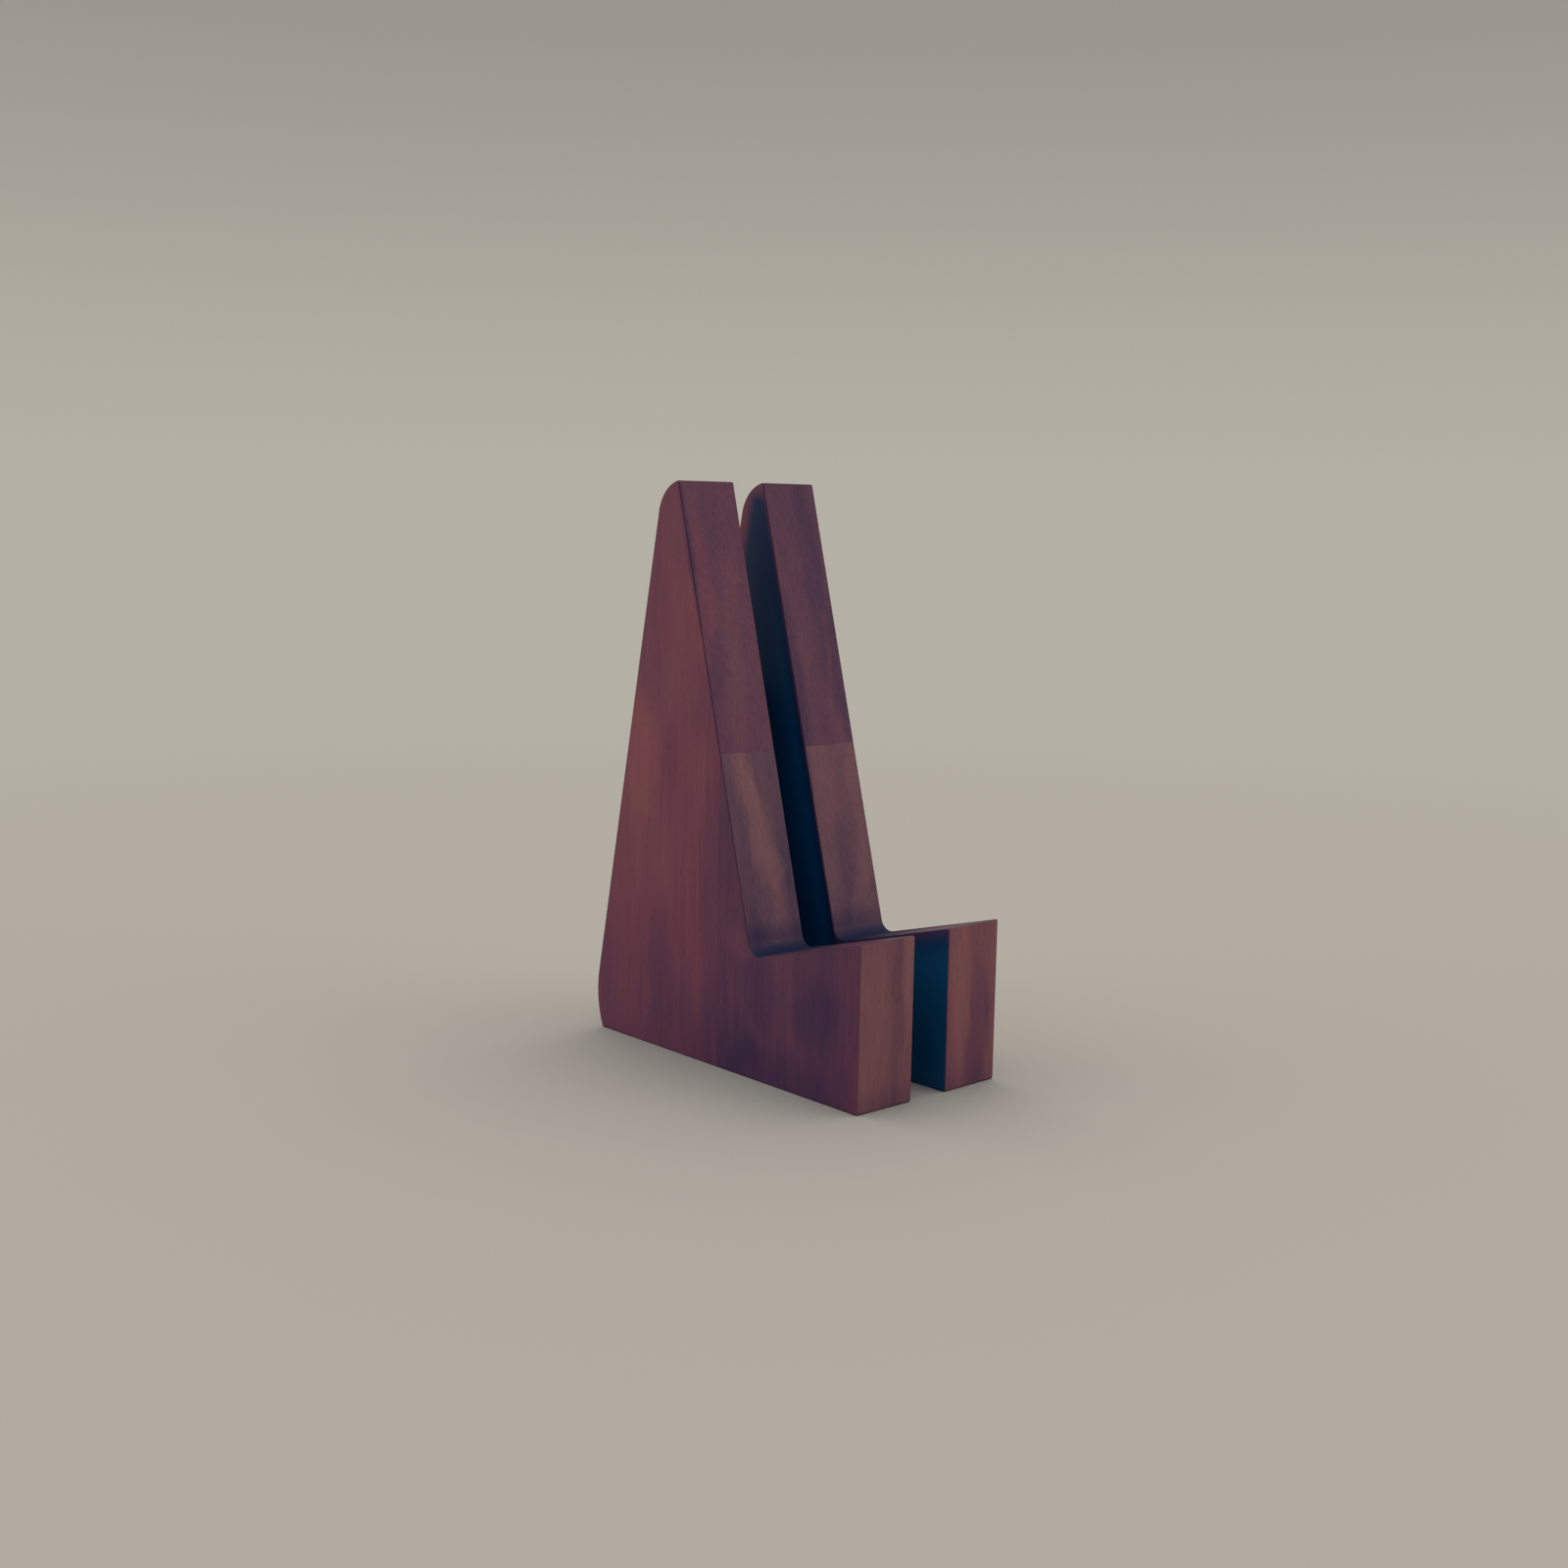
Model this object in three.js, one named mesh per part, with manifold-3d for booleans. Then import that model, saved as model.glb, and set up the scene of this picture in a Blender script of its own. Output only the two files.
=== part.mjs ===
// Book stand in solid hardwood: two identical profiled plates, side by side with a slot between them.
// Each plate is edge-glued from a front and a rear stave, both with upright grain.
// A spine set back in the slot, and three dowels through it, hold the two plates together.
// Millimetres, +Z up. The front faces -Y, X = 0 is the middle of the slot,
// and the origin is the middle of the base, on the surface that the stand rests on.

import * as THREE from "three";
import { mergeVertices } from "three/addons/utils/BufferGeometryUtils.js";
import Module from "manifold-3d";

const { degToRad } = THREE.MathUtils;
const wasm = await Module();
wasm.setup();

// Plate, seen from its side: depth runs back from the foot's front, height runs up from the base
const standHeight = 254;
const plateDepth = 177;
const plateThickness = 31;
const footHeight = 70.5; // front edge of the ledge, above the base
const ledgeLength = 69; // from the foot's front to the inner corner, along the ledge's slope
const backrestLean = degToRad(14.6); // off the vertical, and the ledge is square to the backrest
const innerFillet = 6; // between ledge and backrest
const topRound = 17; // back corner of the top
const topSlope = degToRad(9.5); // how far the round has already turned down at the backrest's top edge
const heelRound = 45; // back corner of the base
const heelRise = 18; // height of the heel arc's centre, where the plate is deepest
const seamDepth = 88.9; // glue line between the front and the rear stave
const arrisEase = 0.5; // sanded long edges
const cornerEaseShare = 1.8; // the profile's own corners are sanded this much more than the long edges

// Where the plates stand
const slotWidth = 20.6; // between the inner faces, at the front
const toeIn = degToRad(0.8); // each plate turns in towards the rear

// Spine between the plates, parallel to their back edges
const spineThickness = 18;
const spineLength = 152;
const spineSetIn = 8; // from the plates' back edge to the spine's back
const spineLift = 14; // lower end above the base

// Dowels through the spine, blind in both plates
const dowelDiameter = 8;
const dowelLength = 50;
const dowelChamfer = 1;
const dowelEndMargin = 22; // from each end of the spine to its nearest dowel
const boreEndRoom = 1; // left past each end of a dowel

const jointGap = 0.3; // at every glued joint: seam, spine cheeks and round a dowel
const overrun = 5; // how far a cutting block runs past what it cuts

// Steps of the round stretches
const roundSteps = 12;
const easeSteps = 2;
const dowelSides = 24;

const mahoganyFront = new THREE.MeshStandardMaterial({ color: "#6d4442", roughness: 0.5, metalness: 0 });
const mahoganyRear = new THREE.MeshStandardMaterial({ color: "#683a3d", roughness: 0.5, metalness: 0 });
const mahoganySpine = new THREE.MeshStandardMaterial({ color: "#5a3230", roughness: 0.6, metalness: 0 });
const beech = new THREE.MeshStandardMaterial({ color: "#c39a70", roughness: 0.65, metalness: 0 });

// Profile: unit directions and key points, as (depth, height)
const up = new THREE.Vector2(0, 1);
const back = new THREE.Vector2(1, 0);
const backrestUp = new THREE.Vector2(Math.sin(backrestLean), Math.cos(backrestLean));
const ledgeForward = new THREE.Vector2(-Math.cos(backrestLean), Math.sin(backrestLean));
const footFront = new THREE.Vector2(0, 0);
const ledgeFront = new THREE.Vector2(0, footHeight);
const innerCorner = ledgeFront.clone().addScaledVector(ledgeForward, -ledgeLength);

// The top's round starts at the backrest's top edge, which is the stand's highest point
const topFront = innerCorner
  .clone()
  .addScaledVector(backrestUp, (standHeight - innerCorner.y) / backrestUp.y);
const topCentre = topFront
  .clone()
  .sub(new THREE.Vector2(Math.sin(topSlope), Math.cos(topSlope)).multiplyScalar(topRound));
const heelCentre = new THREE.Vector2(plateDepth - heelRound, heelRise);

// The straight back edge is tangent to both rounds: backNormal points square out of it
const betweenRounds = topCentre.clone().sub(heelCentre);
const backLean = betweenRounds.angle() - Math.acos((heelRound - topRound) / betweenRounds.length());
const backNormal = new THREE.Vector2(Math.cos(backLean), Math.sin(backLean));
const backUp = new THREE.Vector2(-Math.sin(backLean), Math.cos(backLean));
const backReach = heelCentre.dot(backNormal) + heelRound; // from the origin of the profile, along backNormal

const cornerEase = arrisEase * cornerEaseShare;

function arcPoints(centre, radius, from, to) {
  return Array.from({ length: roundSteps + 1 }, (_, step) => {
    const angle = from + ((to - from) * step) / roundSteps;
    return new THREE.Vector2(Math.cos(angle), Math.sin(angle)).multiplyScalar(radius).add(centre);
  });
}

// A sanded corner: leaves the edge that comes in, and joins the one that goes out, cornerEase away
function easedCorner(corner, directionIn, directionOut) {
  const start = corner.clone().addScaledVector(directionIn, -cornerEase);
  const end = corner.clone().addScaledVector(directionOut, cornerEase);
  return new THREE.QuadraticBezierCurve(start, corner, end).getPoints(easeSteps);
}

function plateOutline() {
  const heelStart = -Math.asin(heelRise / heelRound);
  const heelFloor = new THREE.Vector2(heelCentre.x + heelRound * Math.cos(heelStart), 0);
  const heelUp = new THREE.Vector2(-Math.sin(heelStart), Math.cos(heelStart));
  const topEnd = Math.PI / 2 - topSlope;
  const topForward = new THREE.Vector2(-Math.sin(topEnd), Math.cos(topEnd));
  const filletCentre = innerCorner
    .clone()
    .addScaledVector(backrestUp, innerFillet)
    .addScaledVector(ledgeForward, innerFillet);
  return new THREE.Shape([
    ...easedCorner(footFront, up.clone().negate(), back),
    ...easedCorner(heelFloor, back, heelUp),
    ...arcPoints(heelCentre, heelRound, heelStart + cornerEase / heelRound, backLean).slice(1),
    ...arcPoints(topCentre, topRound, backLean, topEnd - cornerEase / topRound).slice(0, -1),
    ...easedCorner(topFront, topForward, backrestUp.clone().negate()),
    ...arcPoints(filletCentre, innerFillet, -backrestLean, -backrestLean - Math.PI / 2),
    ...easedCorner(ledgeFront, ledgeForward, up.clone().negate()),
  ]);
}

function solidOf(geometry) {
  geometry.deleteAttribute("normal");
  geometry.deleteAttribute("uv");
  const merged = mergeVertices(geometry);
  return new wasm.Manifold(
    new wasm.Mesh({
      numProp: 3,
      vertProperties: merged.attributes.position.array,
      triVerts: new Uint32Array(merged.index.array),
    }),
  );
}

function geometryOf(solid) {
  const { vertProperties, triVerts } = solid.getMesh();
  const geometry = new THREE.BufferGeometry();
  geometry.setAttribute("position", new THREE.BufferAttribute(vertProperties, 3));
  geometry.setIndex(new THREE.BufferAttribute(triVerts, 1));
  const faceted = geometry.toNonIndexed();
  faceted.computeVertexNormals();
  return faceted;
}

function addPiece(parent, name, geometry, material) {
  const mesh = new THREE.Mesh(geometry, material);
  mesh.name = name;
  parent.add(mesh);
}

function block(low, high) {
  const size = high.clone().sub(low);
  const centre = high.clone().add(low).divideScalar(2);
  return new THREE.BoxGeometry(size.x, size.y, size.z).translate(centre.x, centre.y, centre.z);
}

// The profile's depth becomes Y, its height Z, and its thickness X
const profileToPlate = new THREE.Matrix4().makeBasis(
  new THREE.Vector3(0, 1, 0),
  new THREE.Vector3(0, 0, 1),
  new THREE.Vector3(1, 0, 0),
);

// In a plate's own frame its inner face is X = 0, and the plate lies outwards of it, on side -1 or 1
function plateBlank(side) {
  const geometry = new THREE.ExtrudeGeometry(plateOutline(), {
    depth: plateThickness - 2 * arrisEase,
    bevelThickness: arrisEase,
    bevelSize: arrisEase,
    bevelOffset: -arrisEase,
    bevelSegments: easeSteps,
  });
  geometry.applyMatrix4(profileToPlate);
  geometry.translate(arrisEase + ((side - 1) / 2) * plateThickness, 0, 0);
  return solidOf(geometry);
}

// Everything in a plate between two depths
function plateSlice(fromDepth, toDepth) {
  const reach = plateThickness + overrun;
  return solidOf(
    block(
      new THREE.Vector3(-reach, fromDepth, -overrun),
      new THREE.Vector3(reach, toDepth, standHeight + overrun),
    ),
  );
}

// Space that a plate takes from the spine, with the glue gap in front of its inner face
function cheekCutter(side) {
  const inner = -side * jointGap;
  const outer = side * (plateThickness + overrun);
  return block(
    new THREE.Vector3(Math.min(inner, outer), -overrun, -overrun),
    new THREE.Vector3(Math.max(inner, outer), plateDepth + overrun, standHeight + overrun),
  );
}

// A point on the spine's centre line, a distance up from its lower end
const spineReach = backReach - spineSetIn - spineThickness / 2;
function spinePoint(distance) {
  const foot = (spineLift - spineReach * backNormal.y) / backUp.y;
  const point = backNormal.clone().multiplyScalar(spineReach).addScaledVector(backUp, foot + distance);
  return new THREE.Vector3(0, point.x, point.y);
}

function dowelGeometry() {
  const radius = dowelDiameter / 2;
  const half = dowelLength / 2;
  const profile = [
    new THREE.Vector2(0, -half),
    new THREE.Vector2(radius - dowelChamfer, -half),
    new THREE.Vector2(radius, dowelChamfer - half),
    new THREE.Vector2(radius, half - dowelChamfer),
    new THREE.Vector2(radius - dowelChamfer, half),
    new THREE.Vector2(0, half),
  ];
  return new THREE.LatheGeometry(profile, dowelSides).rotateZ(-Math.PI / 2);
}

function boreGeometry(centre) {
  const radius = dowelDiameter / 2 + jointGap;
  return new THREE.CylinderGeometry(radius, radius, dowelLength + 2 * boreEndRoom, dowelSides)
    .rotateZ(-Math.PI / 2)
    .translate(centre.x, centre.y, centre.z);
}

// The assembly's own origin is the foot's front at the middle of the slot
const stand = new THREE.Group();
const assembly = new THREE.Group();
assembly.position.y = -(plateDepth * Math.cos(toeIn) + plateThickness * Math.sin(toeIn)) / 2;
stand.add(assembly);

const dowelPlaces = {
  lower_dowel: spinePoint(dowelEndMargin),
  middle_dowel: spinePoint(spineLength / 2),
  upper_dowel: spinePoint(spineLength - dowelEndMargin),
};

const spineBar = new THREE.BoxGeometry(slotWidth, spineThickness, spineLength).rotateX(backLean);
const spineMiddle = spinePoint(spineLength / 2);
let spine = solidOf(spineBar.translate(spineMiddle.x, spineMiddle.y, spineMiddle.z));

for (const [sideName, side] of Object.entries({ left: -1, right: 1 })) {
  const plate = new THREE.Group();
  plate.position.x = (side * slotWidth) / 2;
  plate.rotation.z = side * toeIn;
  plate.updateMatrix();
  assembly.add(plate);

  let blank = plateBlank(side);
  const assemblyToPlate = plate.matrix.clone().invert();
  for (const place of Object.values(dowelPlaces)) {
    blank = blank.subtract(solidOf(boreGeometry(place).applyMatrix4(assemblyToPlate)));
  }
  const frontStave = blank.intersect(plateSlice(-overrun, seamDepth - jointGap / 2));
  const rearStave = blank.intersect(plateSlice(seamDepth + jointGap / 2, plateDepth + overrun));
  addPiece(plate, `${sideName}_front_stave`, geometryOf(frontStave), mahoganyFront);
  addPiece(plate, `${sideName}_rear_stave`, geometryOf(rearStave), mahoganyRear);

  spine = spine.subtract(solidOf(cheekCutter(side).applyMatrix4(plate.matrix)));
}

for (const [name, place] of Object.entries(dowelPlaces)) {
  spine = spine.subtract(solidOf(boreGeometry(place)));
  addPiece(assembly, name, dowelGeometry().translate(place.x, place.y, place.z), beech);
}
addPiece(assembly, "spine", geometryOf(spine), mahoganySpine);

export default stand;
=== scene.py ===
# Book stand in oiled mahogany: the looks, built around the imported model.
# Metres in the scene, millimetres in the dictionaries. The front faces -Y, X = 0 is the middle of the slot.
import math

import bmesh
import bpy
from mathutils import Matrix, Vector


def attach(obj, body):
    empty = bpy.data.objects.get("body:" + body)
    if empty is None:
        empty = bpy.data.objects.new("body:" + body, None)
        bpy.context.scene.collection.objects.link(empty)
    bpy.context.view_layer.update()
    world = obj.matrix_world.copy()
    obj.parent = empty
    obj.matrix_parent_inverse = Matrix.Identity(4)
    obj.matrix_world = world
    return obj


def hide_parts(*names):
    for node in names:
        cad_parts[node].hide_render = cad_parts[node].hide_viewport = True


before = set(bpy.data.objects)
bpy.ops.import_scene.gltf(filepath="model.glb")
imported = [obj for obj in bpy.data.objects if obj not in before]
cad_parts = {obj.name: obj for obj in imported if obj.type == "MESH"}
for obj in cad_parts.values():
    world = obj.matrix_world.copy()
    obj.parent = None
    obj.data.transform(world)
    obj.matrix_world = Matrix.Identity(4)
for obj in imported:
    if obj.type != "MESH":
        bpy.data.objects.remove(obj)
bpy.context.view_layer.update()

mm = 0.001  # one millimetre in scene units
mixFrom, mixTo, mixResult = 6, 7, 2  # the sockets of a Mix node that mixes colours


def linearColor(hexCode):
    # sRGB hex to the linear colour that shaders take
    channels = [int(hexCode[i:i + 2], 16) / 255 for i in (1, 3, 5)]
    return tuple(c / 12.92 if c <= 0.04045 else ((c + 0.055) / 1.055) ** 2.4 for c in channels) + (1.0,)


def addNode(tree, kind, settings=None, links=None):
    # settings fill the node's properties or its free inputs, and links feed its inputs from sockets or,
    # where a node is given, from its first output
    node = tree.nodes.new(kind)
    for name, value in (settings or {}).items():
        if isinstance(name, str) and hasattr(node, name):
            setattr(node, name, value)
        else:
            node.inputs[name].default_value = value
    for name, source in (links or {}).items():
        socket = source.outputs[0] if isinstance(source, bpy.types.Node) else source
        tree.links.new(socket, node.inputs[name])
    return node


def newMaterial(name):
    material = bpy.data.materials.new(name)
    material.use_nodes = True
    material.node_tree.nodes.clear()
    return material, material.node_tree


def newObject(name, body):
    # a scene object from a bmesh, which is used up
    mesh = bpy.data.meshes.new(name)
    body.to_mesh(mesh)
    body.free()
    piece = bpy.data.objects.new(name, mesh)
    bpy.context.scene.collection.objects.link(piece)
    return piece


# Side plates, both with one profile, seen from the side: depth runs back from the foot's front
plate = {
    "height": 254,
    "depth": 177,
    "thickness": 31,
    "footHeight": 70.5,
    "ledgeLength": 69,
    "leanDegrees": 14.6,
    "innerFillet": 6,
    "topRound": 17,
    "topSlopeDegrees": 9.5,
    "heelRound": 45,
    "heelRise": 18,  # height of the heel round's centre
    "seamDepth": 88.9,  # where the front stave ends
    "slotWidth": 20.6,  # at the front: the toe-in narrows it towards the back
    "toeInDegrees": 0.8,
    "arrisRadius": 0.6,
    "cornerReach": 1.1,  # from a hand-sanded corner to where it starts to bend
    "glueLine": 0.06,
    "roundSteps": 28,
    "easeSteps": 5,
    "faceWeight": 100,  # the flat faces decide the shading, so that only the arrises look round
}

# Main points and directions of the profile, as (depth, height)
lean = math.radians(plate["leanDegrees"])
toeIn = math.radians(plate["toeInDegrees"])
backrestUp = Vector((math.sin(lean), math.cos(lean)))
ledgeForward = Vector((-math.cos(lean), math.sin(lean)))
ledgeFront = Vector((0, plate["footHeight"]))
innerCorner = ledgeFront - plate["ledgeLength"] * ledgeForward
topFront = innerCorner + backrestUp * ((plate["height"] - innerCorner.y) / backrestUp.y)
topEnd = math.radians(90 - plate["topSlopeDegrees"])
topCentre = topFront - plate["topRound"] * Vector((math.cos(topEnd), math.sin(topEnd)))
heelCentre = Vector((plate["depth"] - plate["heelRound"], plate["heelRise"]))

# The back is the straight edge that touches both rounds, backReach out from the origin
betweenRounds = topCentre - heelCentre
roundsAngle = math.acos((plate["heelRound"] - plate["topRound"]) / betweenRounds.length)
backLean = math.atan2(betweenRounds.y, betweenRounds.x) - roundsAngle
backNormal = Vector((math.cos(backLean), math.sin(backLean)))
backUp = Vector((-math.sin(backLean), math.cos(backLean)))
backReach = heelCentre.dot(backNormal) + plate["heelRound"]

# Puts the middle of the stand's depth at Y = 0
assemblyShift = -(plate["depth"] * math.cos(toeIn) + plate["thickness"] * math.sin(toeIn)) / 2

# Mahogany, oiled. Solid timber, so one block of grain runs through each stave: long pores on the side
# and front faces, dots on the ledge, the top and the base. The grain runs up Z.
mahogany = {
    "patterns": {
        # how wide across the grain, how long along it, how many finer layers, follows the growth rings or not
        "layers": {"across": 7, "along": 330, "detail": 2.0, "rings": True},
        "ribbons": {"across": 17, "along": 260, "detail": 1.0, "rings": True},  # interlocked grain
        # real fibres are 0.05 mm wide: drawn coarser, to show
        "fibres": {"across": 0.9, "along": 50, "detail": 3.0, "rings": False},
        "strands": {"across": 2.6, "along": 100, "detail": 3.0, "rings": False},
        "blotches": {"across": 22, "along": 60, "detail": 2.0, "rings": False},
    },
    "patternRoughness": 0.55,  # how much the finer layers count
    "wander": {"across": 60, "along": 230, "detail": 1.0, "reach": 9},  # how far the lines stray sideways
    "smudge": {"across": 13, "along": 34, "detail": 2.0, "reach": 8},  # how far clouds and streaks fray
    "cloudCore": 0.3,  # of a cloud's reach, where it is full
    # real vessels are 0.2 mm wide: drawn about 0.35 mm wide, to show. Their reach is a share of the width
    "pores": {"across": 1.2, "along": 10, "reach": 0.2, "depth": 0.4},
    "blotchWarmth": 0.6,  # light blotches are browner, dark ones more purple
    "ior": 1.4,
    "specularLevel": 0.25,  # oil that has soaked in: half the shine of a film
    "roughness": 0.45,
    "rougher": {"pores": 0.2, "fibres": 0.12, "cornerOil": 0.5},  # what each adds to that
    "bumpStrength": 0.4,
    "bumpHeight": 0.08,
    "redTones": {0.0: "#3a2242", 0.25: "#542e44", 0.5: "#703846", 0.75: "#834548", 1.0: "#96564e"},
    "brownTones": {0.0: "#382844", 0.25: "#4b3446", 0.5: "#634249", 0.75: "#784e4d", 1.0: "#8c5c53"},
    "litBackTint": "#ffecd0",  # painted light: a browner tint on the back faces, which face the bright side of the dome, so that they show less violet than the front
    "pore": "#2a1428",
    "endGrain": "#3c2229",
    "endGrainShare": 0.5,
    "endGrainLevel": (0.4, 0.85),  # how level a face is where end grain starts to show, and where it is full
    "cornerOil": "#0a1c38",  # painted shade where the ledge meets the backrest
    "cornerShadeReach": (1016, 56, 56),  # across the plate so far that only depth and height count
    "cornerShadeLevel": (0.33, 1.0),  # how level a face is where the painted corner shade starts, and where it is full
    # painted shade: a dark line along the arrises
    "arris": "#261a2a",
    "arrisShare": 0.36,
    "crossArrisShare": 0.35,  # of that, across the plate and down the foot's front
    "paintedSlotShade": {"near": "#0a2a4a", "deep": "#0b4c69"},  # painted shade: in the slot the staves are coloured blue-black for its dark
    "cheekDepth": 0.03,  # from the inner face, what still counts as the cheek
    # how far in from each edge the painted shade starts and is full, and where it starts to turn deep and has
    # turned
    "cheekFade": {"back": (1.5, 9), "top": (1.5, 9), "ledge": (-7, 7)},
    "cheekDeep": {"back": (9, 70), "top": (9, 70), "ledge": (0, 20)},
    "behindFace": 3,  # behind the backrest's face it does so that many times as soon as under the ledge
}


def cellScale(size):
    # makes a pattern as wide across the grain and as long along it as its entry says
    return 1 / size["across"], 1 / size["across"], 1 / size["along"]


def growGrain(tree, board, place):
    # each point's place in the log, the same strayed sideways, and the same by distance from the heart
    inLog = addNode(tree, "ShaderNodeVectorMath", {"operation": "ADD", 1: board["cutFrom"]}, {0: place})
    wander = mahogany["wander"]
    wide = addNode(tree, "ShaderNodeMapping", {"Scale": cellScale(wander)}, {"Vector": inLog})
    stray = addNode(tree, "ShaderNodeTexNoise", {"Scale": 1.0, "Detail": wander["detail"]}, {"Vector": wide})
    grain = addNode(tree, "ShaderNodeVectorMath", {
        "operation": "MULTIPLY_ADD", 1: (2 * wander["reach"], 2 * wander["reach"], 0.0),
    }, {0: stray.outputs["Color"], 2: inLog})

    spoke = addNode(tree, "ShaderNodeVectorMath", {"operation": "SUBTRACT", 1: board["heart"]}, {0: grain})
    flat = addNode(tree, "ShaderNodeVectorMath", {"operation": "MULTIPLY", 1: (1, 1, 0)}, {0: spoke})
    radius = addNode(tree, "ShaderNodeVectorMath", {"operation": "LENGTH"}, {0: flat}).outputs["Value"]
    height = addNode(tree, "ShaderNodeSeparateXYZ", {}, {0: grain}).outputs["Z"]
    rings = addNode(tree, "ShaderNodeCombineXYZ", {}, {"X": radius, "Z": height})
    return inLog, grain, rings


def lookOfFaces(tree, board, facing, onBack):
    # faces across the board show another cut of the grain than its sides: another tone and warmth, partly
    # painted light and sheen for each face
    look = {}
    for quality in ("tone", "warmth"):
        faces = board[quality]
        sideToFront = addNode(tree, "ShaderNodeMapRange", {
            "From Max": -1.0, "To Min": faces["side"], "To Max": faces["front"],
        }, {"Value": facing["Y"]})
        look[quality] = addNode(tree, "ShaderNodeMath", {
            "operation": "MULTIPLY_ADD", 1: faces["back"] - faces["side"],
        }, {0: onBack, 2: sideToFront})
    return look


def layPatterns(tree, board, grain, rings, look):
    # each pattern pushes the tone up or down about the face's own: noise lies about a half
    shades = {}
    for patternName, pattern in mahogany["patterns"].items():
        narrow = addNode(tree, "ShaderNodeMapping", {
            "Scale": cellScale(pattern),
        }, {"Vector": rings if pattern["rings"] else grain})
        noise = addNode(tree, "ShaderNodeTexNoise", {
            "Scale": 1.0, "Detail": pattern["detail"], "Roughness": mahogany["patternRoughness"],
        }, {"Vector": narrow})
        shades[patternName] = addNode(tree, "ShaderNodeMath", {"operation": "SUBTRACT", 1: 0.5}, {0: noise})
        look["tone"] = addNode(tree, "ShaderNodeMath", {
            "operation": "MULTIPLY_ADD", 1: board["weights"][patternName],
        }, {0: shades[patternName], 2: look["tone"]})
    look["warmth"] = addNode(tree, "ShaderNodeMath", {
        "operation": "MULTIPLY_ADD", 1: mahogany["blotchWarmth"],
    }, {0: shades["blotches"], 2: look["warmth"]})
    return shades


def layClouds(tree, board, place, inLog, facing, look):
    # streaks and clouds that the eye picks out, some of them painted shade: full at the core, gone at the
    # reach, with frayed edges
    smudge = mahogany["smudge"]
    close = addNode(tree, "ShaderNodeMapping", {"Scale": cellScale(smudge)}, {"Vector": inLog})
    fray = addNode(tree, "ShaderNodeTexNoise", {"Scale": 1.0, "Detail": smudge["detail"]}, {"Vector": close})
    pushed = addNode(tree, "ShaderNodeVectorMath", {
        "operation": "MULTIPLY_ADD", 1: (2 * smudge["reach"],) * 3,
    }, {0: fray.outputs["Color"], 2: place})
    frayed = addNode(tree, "ShaderNodeVectorMath", {
        "operation": "SUBTRACT", 1: (smudge["reach"],) * 3,
    }, {0: pushed})
    onSide = addNode(tree, "ShaderNodeMath", {"operation": "ABSOLUTE"}, {0: facing["X"]})
    offSide = addNode(tree, "ShaderNodeMath", {"operation": "SUBTRACT", 0: 1.0}, {1: onSide})
    for cloud in board["clouds"]:
        turns = [math.radians(turn) for turn in cloud.get("turn", (0, 0, 0))]
        local = addNode(tree, "ShaderNodeMapping", {
            "vector_type": "TEXTURE", "Location": cloud["centre"], "Rotation": turns, "Scale": cloud["reach"],
        }, {"Vector": place if cloud.get("sharp") else frayed})
        ball = addNode(tree, "ShaderNodeTexGradient", {"gradient_type": "SPHERICAL"}, {"Vector": local})
        soft = addNode(tree, "ShaderNodeMapRange", {
            "interpolation_type": "SMOOTHERSTEP", "From Max": 1 - mahogany["cloudCore"],
        }, {"Value": ball.outputs["Fac"]})
        if cloud.get("offSide"):
            soft = addNode(tree, "ShaderNodeMath", {"operation": "MULTIPLY"}, {0: soft, 1: offSide})
        for quality in ("tone", "warmth"):
            if quality in cloud:
                look[quality] = addNode(tree, "ShaderNodeMath", {
                    "operation": "MULTIPLY_ADD", 1: cloud[quality],
                }, {0: soft, 2: look[quality]})


def colorOfWood(tree, look, onBack):
    # the tone picks a red and a brown, the warmth mixes them, and the back faces get a browner tint as
    # painted light
    ramps = []
    for tones in ("redTones", "brownTones"):
        ramp = addNode(tree, "ShaderNodeValToRGB", {}, {"Fac": look["tone"]})
        stops = ramp.color_ramp.elements
        stops.remove(stops[-1])
        for number, (at, color) in enumerate(mahogany[tones].items()):
            stop = stops[0] if number == 0 else stops.new(at)
            stop.position = at
            stop.color = linearColor(color)
        ramps.append(ramp.outputs["Color"])
    untintedWood = addNode(tree, "ShaderNodeMix", {
        "data_type": "RGBA",
    }, {0: look["warmth"], mixFrom: ramps[0], mixTo: ramps[1]}).outputs[mixResult]
    return addNode(tree, "ShaderNodeMix", {
        "data_type": "RGBA", "blend_type": "MULTIPLY", mixTo: linearColor(mahogany["litBackTint"]),
    }, {0: onBack, mixFrom: untintedWood}).outputs[mixResult]


def openPores(tree, grain):
    # a vessel in each stretched cell: a short dark line along the grain, a dot across it, full from half its
    # reach inwards
    pores = mahogany["pores"]
    cells = addNode(tree, "ShaderNodeMapping", {"Scale": cellScale(pores)}, {"Vector": grain})
    vessel = addNode(tree, "ShaderNodeTexVoronoi", {"Scale": 1.0}, {"Vector": cells})
    return addNode(tree, "ShaderNodeMapRange", {
        "interpolation_type": "SMOOTHSTEP",
        "From Min": pores["reach"], "From Max": pores["reach"] / 2, "To Max": pores["depth"],
    }, {"Value": vessel.outputs["Distance"]})


def drinkOil(tree, upward):
    # end grain drinks more oil: darker on the ledge, the top and the base
    start, full = mahogany["endGrainLevel"]
    endGrain = addNode(tree, "ShaderNodeMapRange", {"From Min": start, "From Max": full}, {"Value": upward})
    return addNode(tree, "ShaderNodeMath", {
        "operation": "MULTIPLY", 1: mahogany["endGrainShare"],
    }, {0: endGrain})


# painted shade in the inner corner, where the ledge meets the backrest, on the faces that turn up towards the
# ledge
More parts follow.
